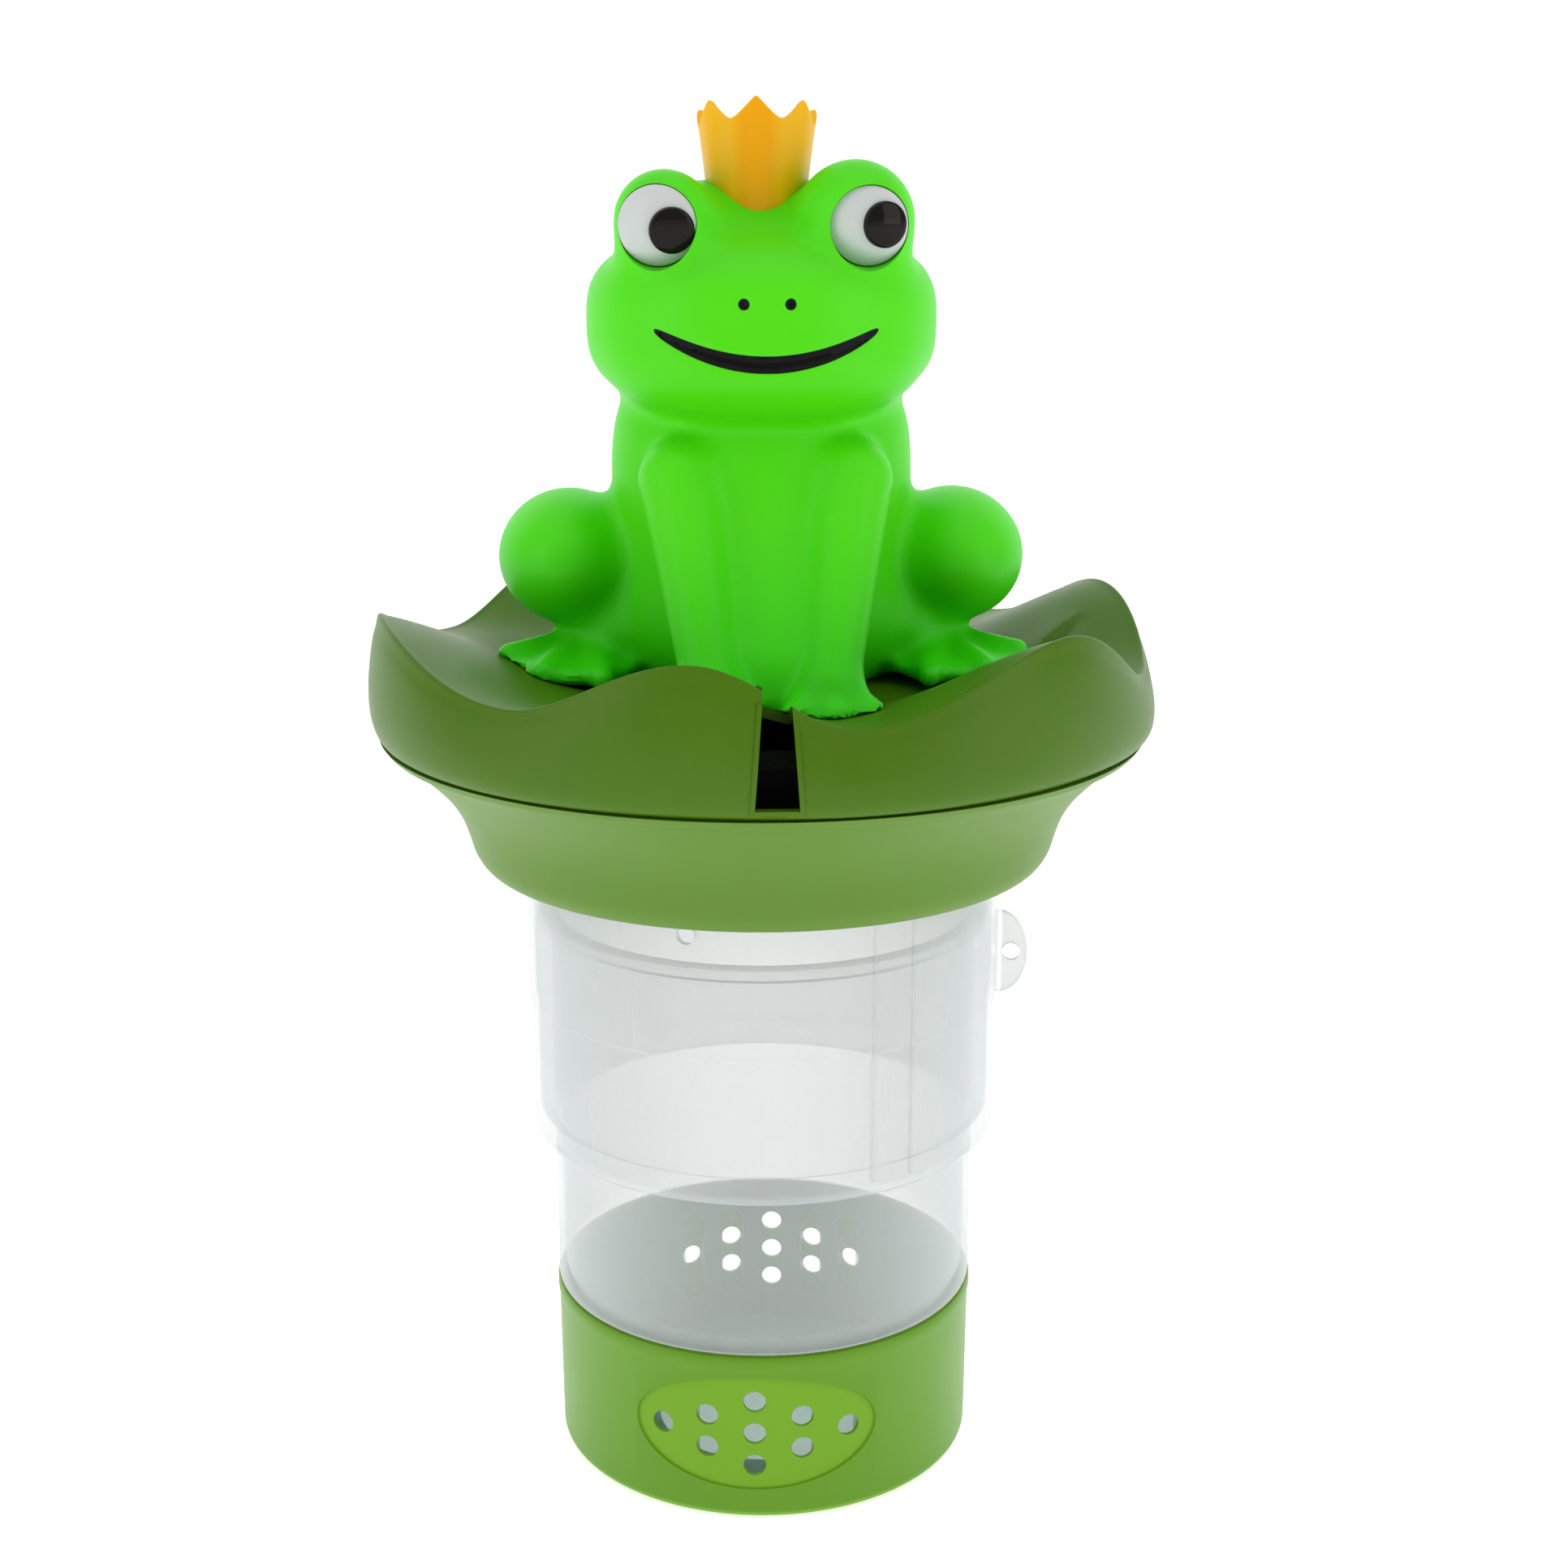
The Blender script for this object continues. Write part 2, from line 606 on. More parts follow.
# Float bowl: the lower float shell, moulded in leaf-green polypropylene with a fine satin texture. Its well
# takes the sleeve and its roof closes the canister; the flange at the top sits inside the pad's band.
WELL_RADIUS = 0.0588
WELL_ROOF = 0.1740
WELL_FOOT = 0.1475
SHELL = 0.0022
BOWL_GREEN = (0.112, 0.232, 0.026)


def curve_through(points, steps):
    """A smooth line through (across, height) points."""
    ends = [2 * Vector(points[0]) - Vector(points[1]), 2 * Vector(points[-1]) - Vector(points[-2])]
    knots = [ends[0]] + [Vector(p) for p in points] + [ends[1]]
    result = []
    for a, b, c, d in zip(knots, knots[1:], knots[2:], knots[3:]):
        for step in range(steps):
            t = step / steps
            place = 2 * b + (c - a) * t + (2 * a - 5 * b + 4 * c - d) * t * t
            result.append(tuple(0.5 * (place + (3 * b - a - 3 * c + d) * t ** 3)))
    return result + [tuple(knots[-2])]


def make_float_bowl():
    """The hull, the well and its three lock ledges."""
    material, shader, _ = moulded_plastic("bowl_green_plastic", BOWL_GREEN, 0.46, drift=0.04)
    shader.inputs["Specular IOR Level"].default_value = 0.2
    hull = curve_through([
        (0.0625, 0.1470), (0.0653, 0.1480), (0.0673, 0.1508), (0.0686, 0.1550), (0.0705, 0.1600),
        (0.0738, 0.1652), (0.0785, 0.1702), (0.0835, 0.1745), (0.0866, 0.1762), (0.0880, 0.1779),
    ], 4)
    inside = [(radius - SHELL * 0.8, height + SHELL * 0.75) for radius, height in reversed(hull[4:-9])]
    outline = [(0.0, WELL_ROOF), (WELL_RADIUS, WELL_ROOF), (WELL_RADIUS, WELL_FOOT)]
    outline += [(WELL_RADIUS + 0.0008, WELL_FOOT - 0.0010)]
    outline += hull + [(0.0842, 0.1779)] + inside
    outline += [(WELL_RADIUS + SHELL, WELL_FOOT + 0.0017), (WELL_RADIUS + SHELL, WELL_ROOF + SHELL)]
    outline += [(0.0, WELL_ROOF + SHELL)]
    bowl = add_piece("bowl_shell", turned(outline), material, "float", ["float_bowl"])
    ledges = bmesh.new()
    for angle in LOCK_ANGLES:
        arc_bar(ledges, box_outline(0.0563, 0.0598, 0.1572, 0.1606), angle - 13, 26, 10)
    apply_cuts(bowl, [ledges], "UNION")


make_float_bowl()


# Lily pad: the top float shell, moulded in olive green with a fine satin texture. A flat deck under the frog
# rises in wavy ridges to the rim, an outer band hangs over the bowl, and the leaf's cleft is a slot in front.
PAD_LOW, PAD_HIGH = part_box("lily_pad")
PAD_RADIUS = PAD_HIGH.x - 0.00008
BAND_FOOT = PAD_LOW.z + 0.00116
DECK_HEIGHT = 0.1900
DECK_RADIUS = 0.0420
RIM_RADIUS = PAD_RADIUS - 0.0034
NOTCH_ANGLE = 2.4
NOTCH_FOOT = 0.1805
NOTCH_TOP = 0.2150
NOTCH_WIDE = 0.0045
NOTCH_NARROW = 0.0020
LIP_WIDTH = 0.0010
OLIVE_GREEN = (0.062, 0.155, 0.0005)
FOLD_MIDDLE = (0.0665, 0.0060)
RIM_WAVE = [
    (-145, 0.2075), (-118, 0.1925), (-75, 0.2066), (-37, 0.1967), (-9, 0.2090), (14, 0.1958),
    (47, 0.2095), (78, 0.1934), (110, 0.2060), (139, 0.1925), (178, 0.2010),
]


def rim_height(degrees):
    """Height of the wavy rim at an angle: smooth swings between its crests and dips."""
    marks = RIM_WAVE + [(RIM_WAVE[0][0] + 360, RIM_WAVE[0][1])]
    angle = (degrees - marks[0][0]) % 360 + marks[0][0]
    for (start, low), (end, high) in zip(marks, marks[1:]):
        if start <= angle <= end:
            return low + (high - low) * (1 - math.cos(math.pi * (angle - start) / (end - start))) / 2
    return DECK_HEIGHT


def leaf_fold(radius, degrees):
    """A short crease on the right of the leaf, where the back of the leaf stands over the front."""
    place = around(radius, degrees, 0)
    along = ((place.x - FOLD_MIDDLE[0]) + (place.y - FOLD_MIDDLE[1])) / math.sqrt(2)
    behind = ((place.y - FOLD_MIDDLE[1]) - (place.x - FOLD_MIDDLE[0])) / math.sqrt(2)
    fade = max(0.0, 1 - (along / 0.0125) ** 2)
    if behind < -0.0003:
        return -0.0010 * fade * math.exp(-((behind + 0.0003) / 0.0035) ** 2)
    return 0.0009 * fade * math.exp(-(behind / 0.0060) ** 2)


def leaf_height(radius, degrees):
    """Height of the leaf's upper face, from the flat deck up to the rim."""
    part = min(max((radius - DECK_RADIUS) / (RIM_RADIUS - DECK_RADIUS), 0.0), 1.0)
    eased = part * part * (3 - 2 * part)
    return DECK_HEIGHT + (rim_height(degrees) - DECK_HEIGHT) * (0.65 * part + 0.35 * eased)


def notch_half_width(height):
    """Half the cleft's width at a height; it narrows upwards."""
    share = (height - NOTCH_FOOT) / (NOTCH_TOP - NOTCH_FOOT)
    return NOTCH_WIDE - (NOTCH_WIDE - NOTCH_NARROW) * share


def make_lily_pad():
    """The pad shell, with raised lips round its cleft, which is cut through into the dark float."""
    material, shader, _ = moulded_plastic("olive_green_plastic", OLIVE_GREEN, 0.40, grain_depth=0.25)
    shader.inputs["Specular IOR Level"].default_value = 0.2
    leaf = [0.0, 0.012, 0.026, 0.036] + [DECK_RADIUS + 0.0433 * i / 60 for i in range(61)]

    def wave(radius, mark, degrees):
        rim = rim_height(degrees)
        kind, share = mark
        if kind == "leaf":
            return radius, leaf_height(radius, degrees) + leaf_fold(radius, degrees)
        if kind == "under":
            return radius, leaf_height(radius, degrees) - SHELL
        return radius, BAND_FOOT + (rim + 0.0002 - BAND_FOOT) * share

    band = curve_through([
        (RIM_RADIUS - 0.0008, 0.990), (RIM_RADIUS, 1.0), (RIM_RADIUS + 0.0006, 0.985),
        (PAD_RADIUS - 0.0022, 0.90), (PAD_RADIUS - 0.0014, 0.80), (PAD_RADIUS - 0.0005, 0.60),
        (PAD_RADIUS, 0.40), (PAD_RADIUS - 0.0002, 0.20), (PAD_RADIUS - 0.0014, 0.06),
        (PAD_RADIUS - 0.0034, 0.0),
    ], 4)
    inner = [(PAD_RADIUS - 0.0038, 0.03), (PAD_RADIUS - 0.0024, 0.22), (PAD_RADIUS - 0.0036, 0.60)]
    outline = [(radius, ("leaf", 0)) for radius in leaf]
    outline += [(radius, ("band", share)) for radius, share in band + inner]
    outline += [(RIM_RADIUS - 0.0018, ("under", 0))]
    outline += [(radius, ("under", 0)) for radius in reversed(leaf[:-1:4])]
    pad = add_piece("lily_pad_shell", turned(outline, 360, wave), material, "float", ["lily_pad"], 50)

    outward, sideways = around(1, NOTCH_ANGLE, 0), around(1, NOTCH_ANGLE + 90, 0)
    leaf_lips, band_lips = bmesh.new(), bmesh.new()
    loops = []
    for i in range(16):
        radius = 0.0590 + (RIM_RADIUS - 0.0016 - 0.0590) * i / 15
        loop = []
        for side, rise in ((-1, -0.0014), (1, -0.0014), (1, 0.0005), (-1, 0.0005)):
            level = leaf_height(radius, NOTCH_ANGLE + math.degrees(side * NOTCH_WIDE / radius))
            reach = side * (notch_half_width(level) + LIP_WIDTH)
            place = outward * radius + sideways * reach + Vector((0, 0, level + rise))
            loop.append(leaf_lips.verts.new(place))
        loops.append(loop)
    loft(leaf_lips, loops)
    loops = []
    band = ((0.0014, 0.06), (0.0002, 0.20), (0.0, 0.40), (0.0005, 0.60), (0.0014, 0.80), (0.0022, 0.90))
    for lean, share in band:
        loop = []
        for side, rise in ((-1, -0.0012), (1, -0.0012), (1, 0.0002), (-1, 0.0002)):
            rim = rim_height(NOTCH_ANGLE + math.degrees(side * NOTCH_WIDE / PAD_RADIUS))
            level = BAND_FOOT + (rim - BAND_FOOT) * share
            reach = side * (notch_half_width(level) + LIP_WIDTH)
            place = outward * (PAD_RADIUS - lean + rise) + sideways * reach
            loop.append(band_lips.verts.new(place + Vector((0, 0, level))))
        loops.append(loop)
    loft(band_lips, loops)
    apply_cuts(pad, [leaf_lips, band_lips], "UNION", 50)
    slot = bmesh.new()
    gap = [(-NOTCH_WIDE, NOTCH_FOOT), (NOTCH_WIDE, NOTCH_FOOT)]
    gap += [(NOTCH_NARROW, NOTCH_TOP), (-NOTCH_NARROW, NOTCH_TOP)]
    radial_prism(slot, gap, NOTCH_ANGLE, 0.0565, 0.0960)
    apply_cuts(pad, [slot], "DIFFERENCE", 50)


make_lily_pad()


# Float foam: a ring of black closed-cell foam between the bowl and the pad. It shows only as the dark inside
# of the cleft. The leaf's shell and the bowl hold it.
FOAM_BLACK = (0.006, 0.006, 0.006)


def make_foam_finish():
    """Black foam with fine open pores."""
    material, shader, _ = moulded_plastic("black_foam", FOAM_BLACK, 0.9, drift=0.25,
                                          grain_size=0.0009, grain_depth=0.9)
    shader.inputs["Specular IOR Level"].default_value = 0.15
    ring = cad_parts["float_foam_ring"]
    ring.data.materials.clear()
    ring.data.materials.append(material)


make_foam_finish()


# Frog: one hollow moulding in soft bright green vinyl, satin, with black enamel in the recessed mouth and
# nostrils. Its open bottom is clamped to the deck. It is shaped here as soft unions of rounded masses.
FROG_GREEN = (0.082, 0.710, 0.004)
FROG_TURN = 2.5
EYE_CENTRE = Vector((0.0214, -0.0150, 0.2920))
EYE_BULGE = 0.0108
EYE_RADIUS = 0.0085
EYE_SEAT = 0.0040
EYE_SPLAY = {"left": -10.0, "right": 8.0}
RIGHT_BROW = (0.0188, -0.0138, 0.2934)
DEEP_GREEN = (0.012, 0.60, 0.001)
ENAMEL_BLACK = (0.006, 0.006, 0.006)
ENAMEL_SHARPNESS = 9000.0
FACE_FRONT = -0.015
MOUTH = (0.2632, 0.0066, 0.0238, 0.0019)
MOUTH_TAPER = 0.32
NOSTRIL = (0.0049, 0.2755, 0.0012)


def ball(points, centre, radii, power=2.0):
    """Rough distance to a rounded mass: an ellipsoid, or squarer up and down with a higher power."""
    offset = (points - np.array(centre)) / np.array(radii)
    flat = np.hypot(offset[..., 0], offset[..., 1])
    scaled = (flat ** power + np.abs(offset[..., 2]) ** power) ** (1 / power)
    steep = np.linalg.norm(offset / np.array(radii), axis=-1)
    return (scaled - 1) * np.linalg.norm(offset, axis=-1) / np.maximum(steep, 1e-9)


def limb(points, start, end, start_radius, end_radius):
    """Distance to a tapering round limb."""
    start, end = np.array(start), np.array(end)
    along = np.clip((points - start) @ (end - start) / ((end - start) @ (end - start)), 0, 1)
    nearest = start + along[..., None] * (end - start)
    return np.linalg.norm(points - nearest, axis=-1) - (start_radius + (end_radius - start_radius) * along)


def blend(first, second, softness):
    """Union of two shapes with a soft fillet between them."""
    near = np.maximum(softness - np.abs(first - second), 0) / softness
    return np.minimum(first, second) - near * near * softness / 4


def leaf_levels(points):
    """Heights of the leaf under an array of points."""
    rims = np.array([rim_height(degrees) for degrees in range(-180, 181)])
    degrees = np.degrees(np.arctan2(points[..., 0], -points[..., 1]))
    radius = np.hypot(points[..., 0], points[..., 1])
    part = np.clip((radius - DECK_RADIUS) / (RIM_RADIUS - DECK_RADIUS), 0, 1)
    rise = 0.65 * part + 0.35 * part * part * (3 - 2 * part)
    return DECK_HEIGHT + (np.interp(degrees, np.arange(-180, 181), rims) - DECK_HEIGHT) * rise


def frog_field(points):
    """Distance to the frog's skin at each point, negative inside.

    It sits turned a little. Its halves mirror each other, apart from a higher brow over the right eye.
    """
    cosine, sine = math.cos(math.radians(FROG_TURN)), math.sin(math.radians(FROG_TURN))
    x, y, z = points[..., 0], points[..., 1], points[..., 2]
    own = np.stack((np.abs(x * cosine + y * sine), y * cosine - x * sine, z), -1)
    head = ball(own, (0, 0, 0.2700), (0.0390, 0.0365, 0.0198), 2.9)
    head = blend(head, ball(own, (0, 0.0020, 0.2835), (0.0200, 0.0170, 0.0135)), 0.008)
    head = blend(head, ball(own, (0.0130, 0.0010, 0.2880), (0.0105, 0.0130, 0.0122)), 0.007)
    head = blend(head, ball(own, (0, -0.0150, 0.2602), (0.0290, 0.0225, 0.0110)), 0.008)
    eye = np.linalg.norm(own - np.array(EYE_CENTRE), axis=-1) - EYE_BULGE
    head = blend(head, eye, 0.008)
    sided = np.stack((x * cosine + y * sine, own[..., 1], z), -1)
    head = blend(head, np.linalg.norm(sided - np.array(RIGHT_BROW), axis=-1) - 0.0105, 0.006)
    torso = ball(own, (0, 0.0030, 0.2340), (0.0340, 0.0300, 0.0310), 3.0)
    torso = blend(torso, ball(own, (0, 0.0060, 0.2040), (0.0360, 0.0370, 0.0240)), 0.012)
    torso = blend(torso, limb(own, (0, -0.0100, 0.2330), (0, -0.0360, 0.1960), 0.0180, 0.0165), 0.010)
    arm = limb(own, (0.0188, -0.0240, 0.2375), (0.0128, -0.0510, 0.1985), 0.0088, 0.0060)
    torso = blend(torso, arm, 0.005)
    body = blend(head, torso, 0.004)
    thigh = ball(own, (0.0440, 0.0040, 0.2168), (0.0161, 0.0230, 0.0152))
    thigh = blend(thigh, ball(own, (0.0335, 0.0020, 0.2010), (0.0100, 0.0160, 0.0100)), 0.006)
    body = blend(body, thigh, 0.006)
    hand = ball(own, (0.0130, -0.0555, 0.1915), (0.0102, 0.0062, 0.0042))
    for tip in ((0.0042, -0.0580, 0.1930), (0.0130, -0.0602, 0.1930), (0.0215, -0.0575, 0.1930)):
        hand = blend(hand, limb(own, (0.0128, -0.0500, 0.1965), tip, 0.0042, 0.0022), 0.004)
    body = blend(body, hand, 0.004)
    foot = ball(own, (0.0440, -0.0110, 0.1940), (0.0155, 0.0140, 0.0036))
    for tip in ((0.0575, -0.0110, 0.1970), (0.0490, -0.0225, 0.1952), (0.0360, -0.0260, 0.1940)):
        foot = blend(foot, limb(own, (0.0390, 0.0, 0.1965), tip, 0.0050, 0.0022), 0.003)
    body = blend(body, foot, 0.004)
    return np.maximum(body, leaf_levels(points) + 0.0002 - points[..., 2])


def detailed_frog_field(points):
    """The same skin with the groove of the mouth and two nostril dimples pressed in."""
    skin_distance = frog_field(points)
    cosine, sine = math.cos(math.radians(FROG_TURN)), math.sin(math.radians(FROG_TURN))
    across = np.abs(points[..., 0] * cosine + points[..., 1] * sine)
    front = np.where(points[..., 1] < FACE_FRONT, 1.0, 0.0)
    low, rise, reach, half = MOUTH
    share = np.clip(across / reach, 0, 1.2)
    taper = np.maximum(1 - share ** 2, 0) ** MOUTH_TAPER
    off = (points[..., 2] - low - rise * share ** 2) / np.maximum(half * taper, 1e-5)
    groove = 0.0010 * taper * np.clip(1 - off ** 2, 0, 1) * (share < 1)
    side, level, size = NOSTRIL
    nostril = np.hypot(across - side, points[..., 2] - level) / (size * 1.3)
    groove = groove + 0.0011 * np.clip(1 - nostril ** 2, 0, 1)
    return skin_distance + front * groove


def skin(field, low, cell):
    """Closed mesh over the zero level of a field on a regular grid: one vertex in each crossed cell."""
    solid = field < 0
    shape = np.array(field.shape) - 1
    corners = [(i, j, k) for i in (0, 1) for j in (0, 1) for k in (0, 1)]

    def view(grid, corner):
        return grid[tuple(slice(c, c + n) for c, n in zip(corner, shape))]

    filled = sum(view(solid, corner).astype(int) for corner in corners)
    crossed = (filled > 0) & (filled < 8)
    number = np.full(crossed.shape, -1)
    number[crossed] = np.arange(crossed.sum())
    total = np.zeros((*crossed.shape, 3))
    hits = np.zeros(crossed.shape)
    faces = []
    for axis in range(3):
        step = np.eye(3, dtype=int)[axis]
        for corner in corners:
            if corner[axis]:
                continue
            near, far = view(field, corner), view(field, tuple(np.array(corner) + step))
            change = (near < 0) != (far < 0)
            part = np.where(change, near / np.where(change, near - far, 1), 0)
            for other in range(3):
                place = part if other == axis else corner[other]
                total[..., other] += np.where(change, place, 0)
            hits += change
        first, second = (axis + 1) % 3, (axis + 2) % 3
        for node in np.argwhere(np.diff(solid, axis=axis)):
            cells = []
            for a, b in ((1, 1), (0, 1), (0, 0), (1, 0)):
                place = node.copy()
                place[first] -= a
                place[second] -= b
                cells.append(int(number[tuple(place)]))
            faces.append(cells if solid[tuple(node)] else cells[::-1])
    places = np.argwhere(crossed) + (total[crossed] / hits[crossed][:, None])
    return np.array(low) + cell * places, faces


def settle(points, field, rounds):
    """Move points onto the zero level of the field."""
    reach = 1e-5
    for _ in range(rounds):
        value = field(points)
        slope = np.stack([(field(points + step) - value) / reach for step in np.eye(3) * reach], -1)
        size = np.maximum((slope ** 2).sum(-1), 0.05)
        points = points - np.clip(value / size, -0.0004, 0.0004)[:, None] * slope
    return points


def make_enamel_mask():
    """1 on the enamelled mouth and nostrils, 0 on the bare vinyl, with a crisp edge."""
    group, _, result = new_group("enamel_mask", [], [("Mask", "f")])
    place = group.nodes.new("ShaderNodeTexCoord")
    turn = group.nodes.new("ShaderNodeVectorRotate")
    turn.rotation_type = "Z_AXIS"
    turn.inputs["Angle"].default_value = math.radians(-FROG_TURN)
    group.links.new(place.outputs["Object"], turn.inputs["Vector"])
    split = group.nodes.new("ShaderNodeSeparateXYZ")
    group.links.new(turn.outputs["Vector"], split.inputs["Vector"])
    x, y, z = split.outputs["X"], split.outputs["Y"], split.outputs["Z"]
    low, rise, reach, half = MOUTH
    side, level, size = NOSTRIL
    mask = math_chain(group, [
        ("ABSOLUTE", x), ("DIVIDE", "0", reach), ("MULTIPLY", "1", "1"), ("MULTIPLY_ADD", "2", rise, low),
        ("SUBTRACT", z, "3"), ("ABSOLUTE", "4"), ("SUBTRACT", 1.0, "2"), ("MAXIMUM", "6", 0.0),
        ("POWER", "7", MOUTH_TAPER), ("MULTIPLY_ADD", "8", half, -0.0001), ("SUBTRACT", "9", "5"),
        ("MULTIPLY_ADD", "10", ENAMEL_SHARPNESS, 0.5), ("MINIMUM", "11", 1.0), ("MAXIMUM", "12", 0.0),
        ("SUBTRACT", "0", side), ("SUBTRACT", z, level), ("MULTIPLY", "14", "14"), ("MULTIPLY", "15", "15"),
        ("ADD", "16", "17"), ("SQRT", "18"), ("SUBTRACT", size, "19"),
        ("MULTIPLY_ADD", "20", ENAMEL_SHARPNESS, 0.5), ("MINIMUM", "21", 1.0), ("MAXIMUM", "22", 0.0),
        ("MAXIMUM", "13", "23"), ("LESS_THAN", y, FACE_FRONT), ("MULTIPLY", "24", "25"),
    ])
    group.links.new(mask, result.inputs["Mask"])
    return group


def make_frog():
    """The frog's skin, with seats for the eyes cut in the bulges."""
    material, shader, finish = moulded_plastic("frog_green_vinyl", FROG_GREEN, 0.42, drift=0.03,
                                               grain_depth=0.08)
    tree = material.node_tree
    enamel = tree.nodes.new("ShaderNodeGroup")
    enamel.node_tree = make_enamel_mask()
    mask = enamel.outputs["Mask"]
    low_down = ramp(tree, object_axes(tree)["Z"], 0.2300, 0.1980, 0.0, 0.6)
    vinyl = tinted(tree, low_down, finish.outputs["Colour"], DEEP_GREEN)
    tree.links.new(tinted(tree, mask, vinyl, ENAMEL_BLACK), shader.inputs["Base Color"])
    tree.links.new(ramp(tree, mask, 0.0, 1.0, 0.18, 0.07), shader.inputs["Specular IOR Level"])
    gloss = tree.nodes.new("ShaderNodeMix")
    gloss.inputs["B"].default_value = 0.12
    tree.links.new(mask, gloss.inputs["Factor"])
    tree.links.new(finish.outputs["Roughness"], gloss.inputs["A"])
    tree.links.new(gloss.outputs["Result"], shader.inputs["Roughness"])

    cell = 0.0010
    low = np.array((-0.066, -0.070, 0.185))
    high = np.array((0.066, 0.050, 0.308))
    count = np.ceil((high - low) / cell).astype(int)
    grid = np.stack(np.meshgrid(*[np.arange(n) for n in count], indexing="ij"), -1)
    points, faces = skin(detailed_frog_field(low + grid * cell), low, cell)
    points = settle(points, detailed_frog_field, 3)
    mesh = bmesh.new()
    verts = [mesh.verts.new(point) for point in points]
    for face in faces:
        mesh.faces.new([verts[i] for i in face])
    frog = add_piece("frog_vinyl_skin", mesh, material, "float", ["frog_body"], 60)
    seats = []
    for side in ("left", "right"):
        seat = turned(box_outline(0.0, EYE_RADIUS + 0.0002, -0.0025, 0.014), 96)
        seat.transform(eye_frame(side, EYE_SPLAY[side], EYE_BULGE - EYE_SEAT))
        seats.append(seat)
    apply_cuts(frog, seats, "DIFFERENCE", 40)


def eye_frame(side, degrees, reach, drop=7.0):
    """Frame on the line that leaves an eye bulge's centre at angles from the front and down."""
    place = Vector(EYE_CENTRE)
    if side == "left":
        place.x = -place.x
    centre = Matrix.Rotation(math.radians(FROG_TURN), 4, "Z") @ place
    look = Matrix.Rotation(math.radians(degrees), 4, "Z") @ Matrix.Rotation(math.radians(90 + drop), 4, "X")
    return Matrix.Translation(centre) @ look @ Matrix.Translation((0, 0, reach))


make_frog()


# Eyes: satin white plastic domes pressed into seats in the bulges, each with a raised gloss-black pupil. The
# left one looks ahead and the right one outwards.
PUPIL_TURN = {"left": 12.0, "right": 26.0}
PUPIL_DROP = {"left": 10.0, "right": 3.5}
PUPIL_RADIUS = 0.0049
EYE_WHITE = (0.555, 0.59, 0.577)
PUPIL_BLACK = (0.008, 0.006, 0.005)


def make_eyes():
    """Two whites and two pupils."""
    white, _, _ = moulded_plastic("eye_white", EYE_WHITE, 0.38, drift=0.02, grain_depth=0.05)
    black, shader, _ = moulded_plastic("pupil_black", PUPIL_BLACK, 0.10, drift=0.1, grain_depth=0.03)
    shader.inputs["Specular IOR Level"].default_value = 0.14
    for side in ("left", "right"):
        outline = [(0.0, -0.0022), (EYE_RADIUS, -0.0022), (EYE_RADIUS, 0.0003)]
        for i in range(13):
            reach = 1 - i / 12
            outline.append((EYE_RADIUS * reach * 0.985, 0.0008 + 0.0030 * (1 - reach ** 2)))
        eye = add_piece(f"eye_white_dome_{side}", turned(outline, 96), white, "float", [f"eye_white_{side}"])
        eye.data.transform(eye_frame(side, EYE_SPLAY[side], EYE_BULGE - EYE_SEAT))
        outline = [(0.0, 0.0), (PUPIL_RADIUS, 0.0)]
        dome = ((1, 0.0011), (0.97, 0.0016), (0.8, 0.0020), (0.4, 0.0024), (0, 0.0025))
        outline += curve_through([(PUPIL_RADIUS * share, height) for share, height in dome], 4)
        pupil = add_piece(f"pupil_button_{side}", turned(outline, 96), black, "float", [f"pupil_{side}"])
        pupil.data.transform(eye_frame(side, PUPIL_TURN[side], EYE_BULGE - 0.0016, PUPIL_DROP[side]))


make_eyes()


# Crown: amber vinyl, slightly translucent, moulded as a flared cup of seven fluted petals with rounded tips.
# It is glued in a seat on the frog's head and leans back a little; some green vinyl shows at its foot.
CROWN_BASE = Vector((-0.0010, 0.0, 0.2900))
CROWN_TILT = 9.7
CROWN_RADII = (0.0103, 0.0135)
CROWN_HEIGHT = 0.0262
CROWN_SPIKES = 7
CROWN_WALL = 0.0013
AMBER = (0.86, 0.375, 0.0)
YELLOW = (0.88, 0.445, 0.0)
CROWN_STAIN = (0.22, 0.42, 0.0)


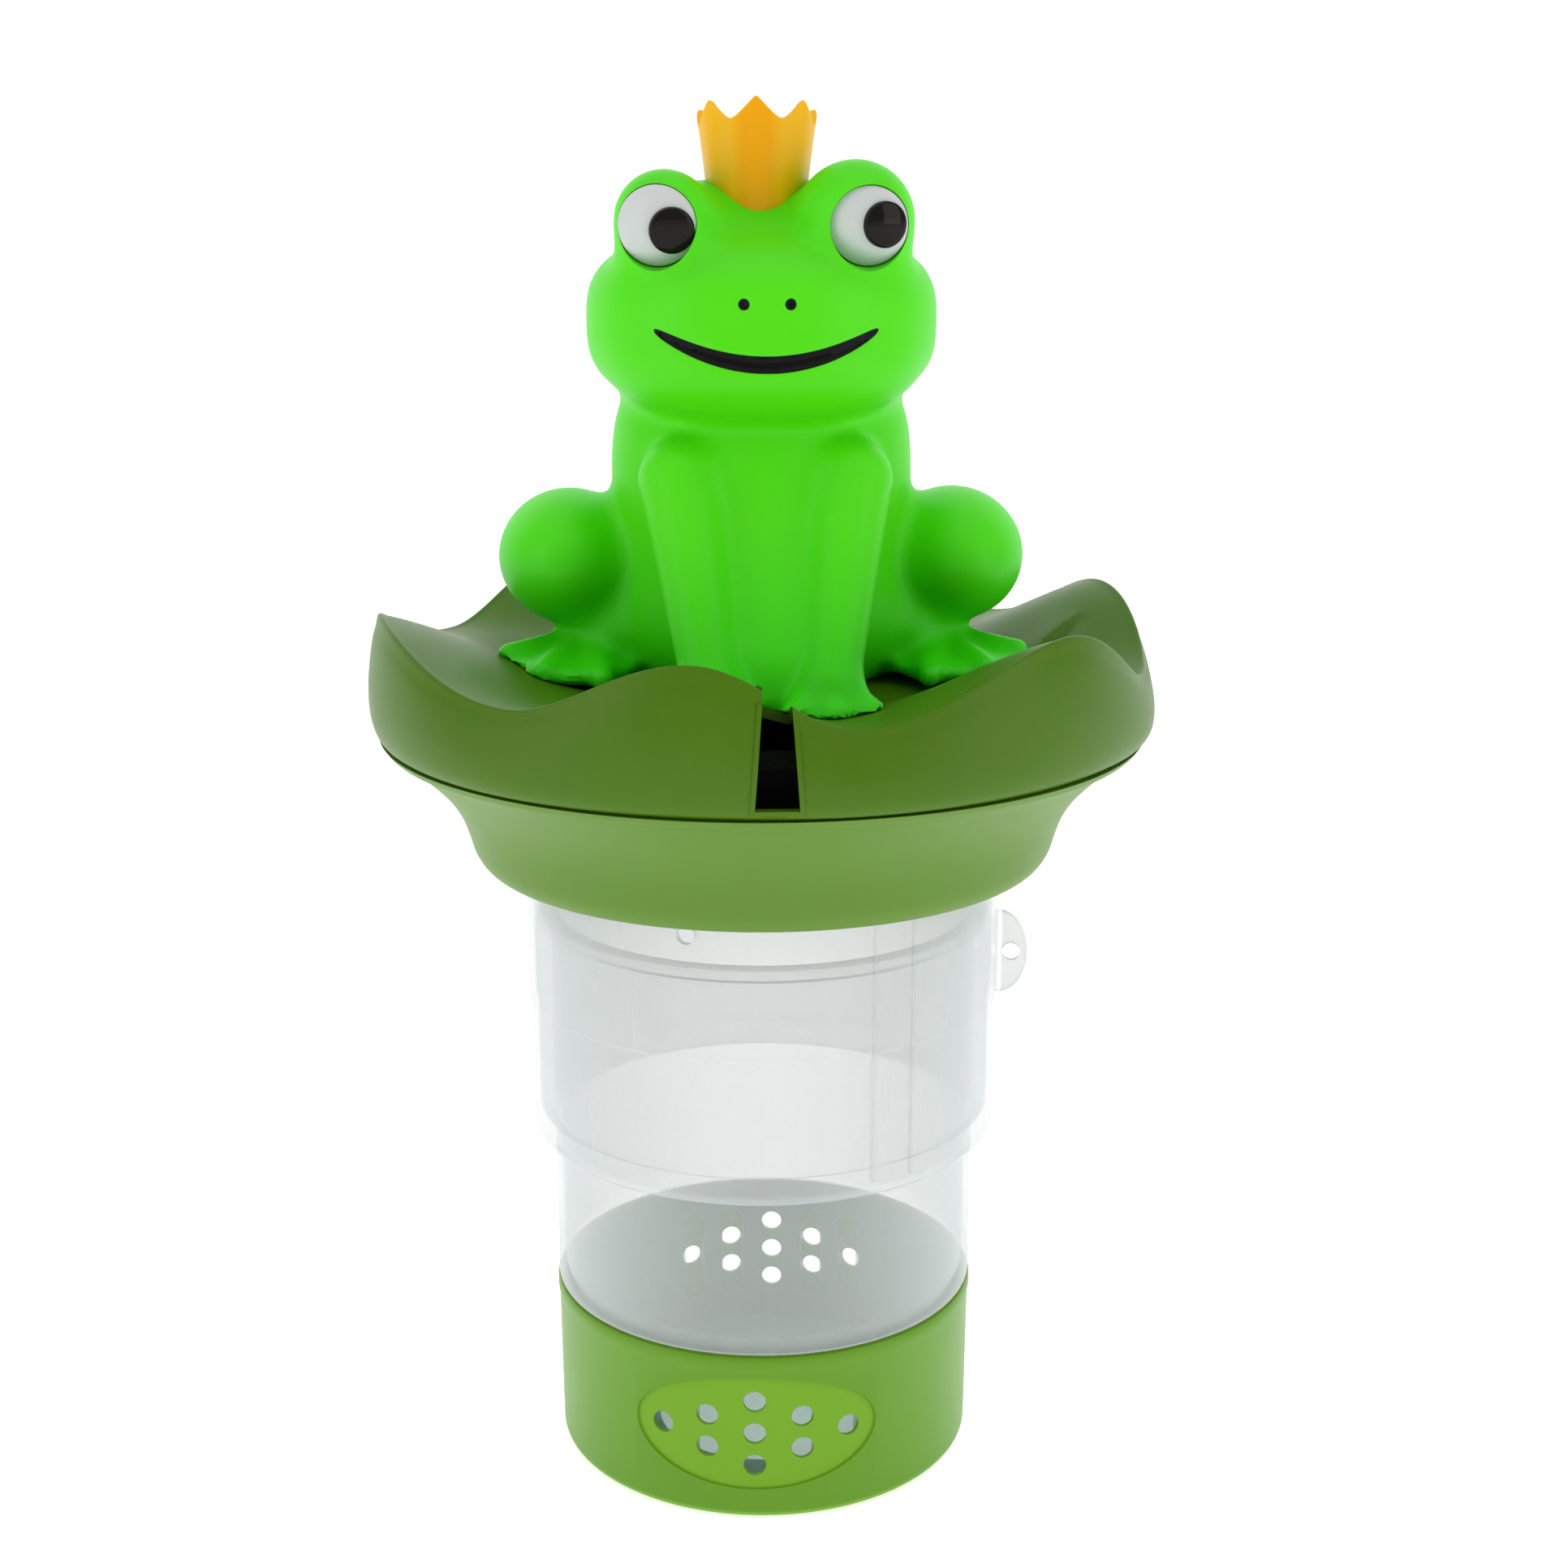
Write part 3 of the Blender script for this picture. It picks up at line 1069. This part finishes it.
def make_crown():
    """The crown, with its colours shaded by height and by petal."""
    material, shader, finish = moulded_plastic("crown_amber_vinyl", AMBER, 0.36, drift=0.03, grain_depth=0.06)
    shader.inputs["Specular IOR Level"].default_value = 0.2
    shader.inputs["Subsurface Weight"].default_value = 0.25
    shader.inputs["Subsurface Radius"].default_value = (0.004, 0.002, 0.0005)
    shader.inputs["Subsurface Scale"].default_value = 1.0
    tree = material.node_tree
    axes = object_axes(tree)
    centred = math_chain(tree, [("ADD", axes["X"], -CROWN_BASE.x), ("ABSOLUTE", "0")])
    petal = tinted(tree, ramp(tree, centred, 0.0030, 0.0052), finish.outputs["Colour"], YELLOW)
    foot = ramp(tree, axes["Z"], 0.3040, 0.2985)
    flank = ramp(tree, centred, 0.0050, 0.0100, 0.0, 0.55)
    stain = math_chain(tree, [("MULTIPLY", foot, flank)])
    tree.links.new(tinted(tree, stain, petal, CROWN_STAIN), shader.inputs["Base Color"])

    base, rim = CROWN_RADII

    def wave(radius, height, degrees):
        phase = (degrees * CROWN_SPIKES / 360.0) % 1.0
        away = 1 - abs(1 - 2 * phase)
        rounded_away = math.sqrt(away * away + 0.0064) - 0.08 * (1 - away)
        level = height * (0.83 + 0.17 * max(1 - rounded_away, 0) ** 1.4) if height > 0.003 else height
        flute = 0.00022 * math.cos(2 * math.pi * phase) * min(height / 0.010, 1.0)
        return (radius + flute if radius > 0.002 else radius), level

    outer = [(base + (rim - 0.0003 - base) * (i / 20) ** 1.15, CROWN_HEIGHT * i / 20) for i in range(21)]
    lip = outer[-1][0]
    outline = [(0.0, 0.0)] + outer[:-1] + [(lip, CROWN_HEIGHT - 0.0003), (lip - 0.0003, CROWN_HEIGHT)]
    outline += [(lip - CROWN_WALL, CROWN_HEIGHT - 0.0002)]
    outline += [(radius - CROWN_WALL, height) for radius, height in reversed(outer[3:-1])]
    outline += [(base - CROWN_WALL - 0.0006, 0.0032), (0.0, 0.0030)]
    crown = add_piece("crown_vinyl", turned(outline, 196, wave), material, "float", ["crown"], 50)
    lean = Matrix.Translation(CROWN_BASE) @ Matrix.Rotation(math.radians(-CROWN_TILT), 4, "X")
    crown.data.transform(lean)


make_crown()


# Hidden fixings: stainless self-tapping screws and a moulded nylon plate that clamps the frog to the deck.
def finish_fixings():
    """Brushed steel for the screws and plain nylon for the plate."""
    nylon, _, _ = moulded_plastic("nylon_plate", (0.50, 0.50, 0.47), 0.5, drift=0.03, grain_depth=0.2)
    steel, shader, _ = moulded_plastic("screw_steel", (0.60, 0.60, 0.61), 0.28, drift=0.06, grain_depth=0.2)
    shader.inputs["Metallic"].default_value = 1.0
    for name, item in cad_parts.items():
        if "screw" in name or name == "frog_mount_plate":
            item.data.materials.clear()
            item.data.materials.append(steel if "screw" in name else nylon)


finish_fixings()
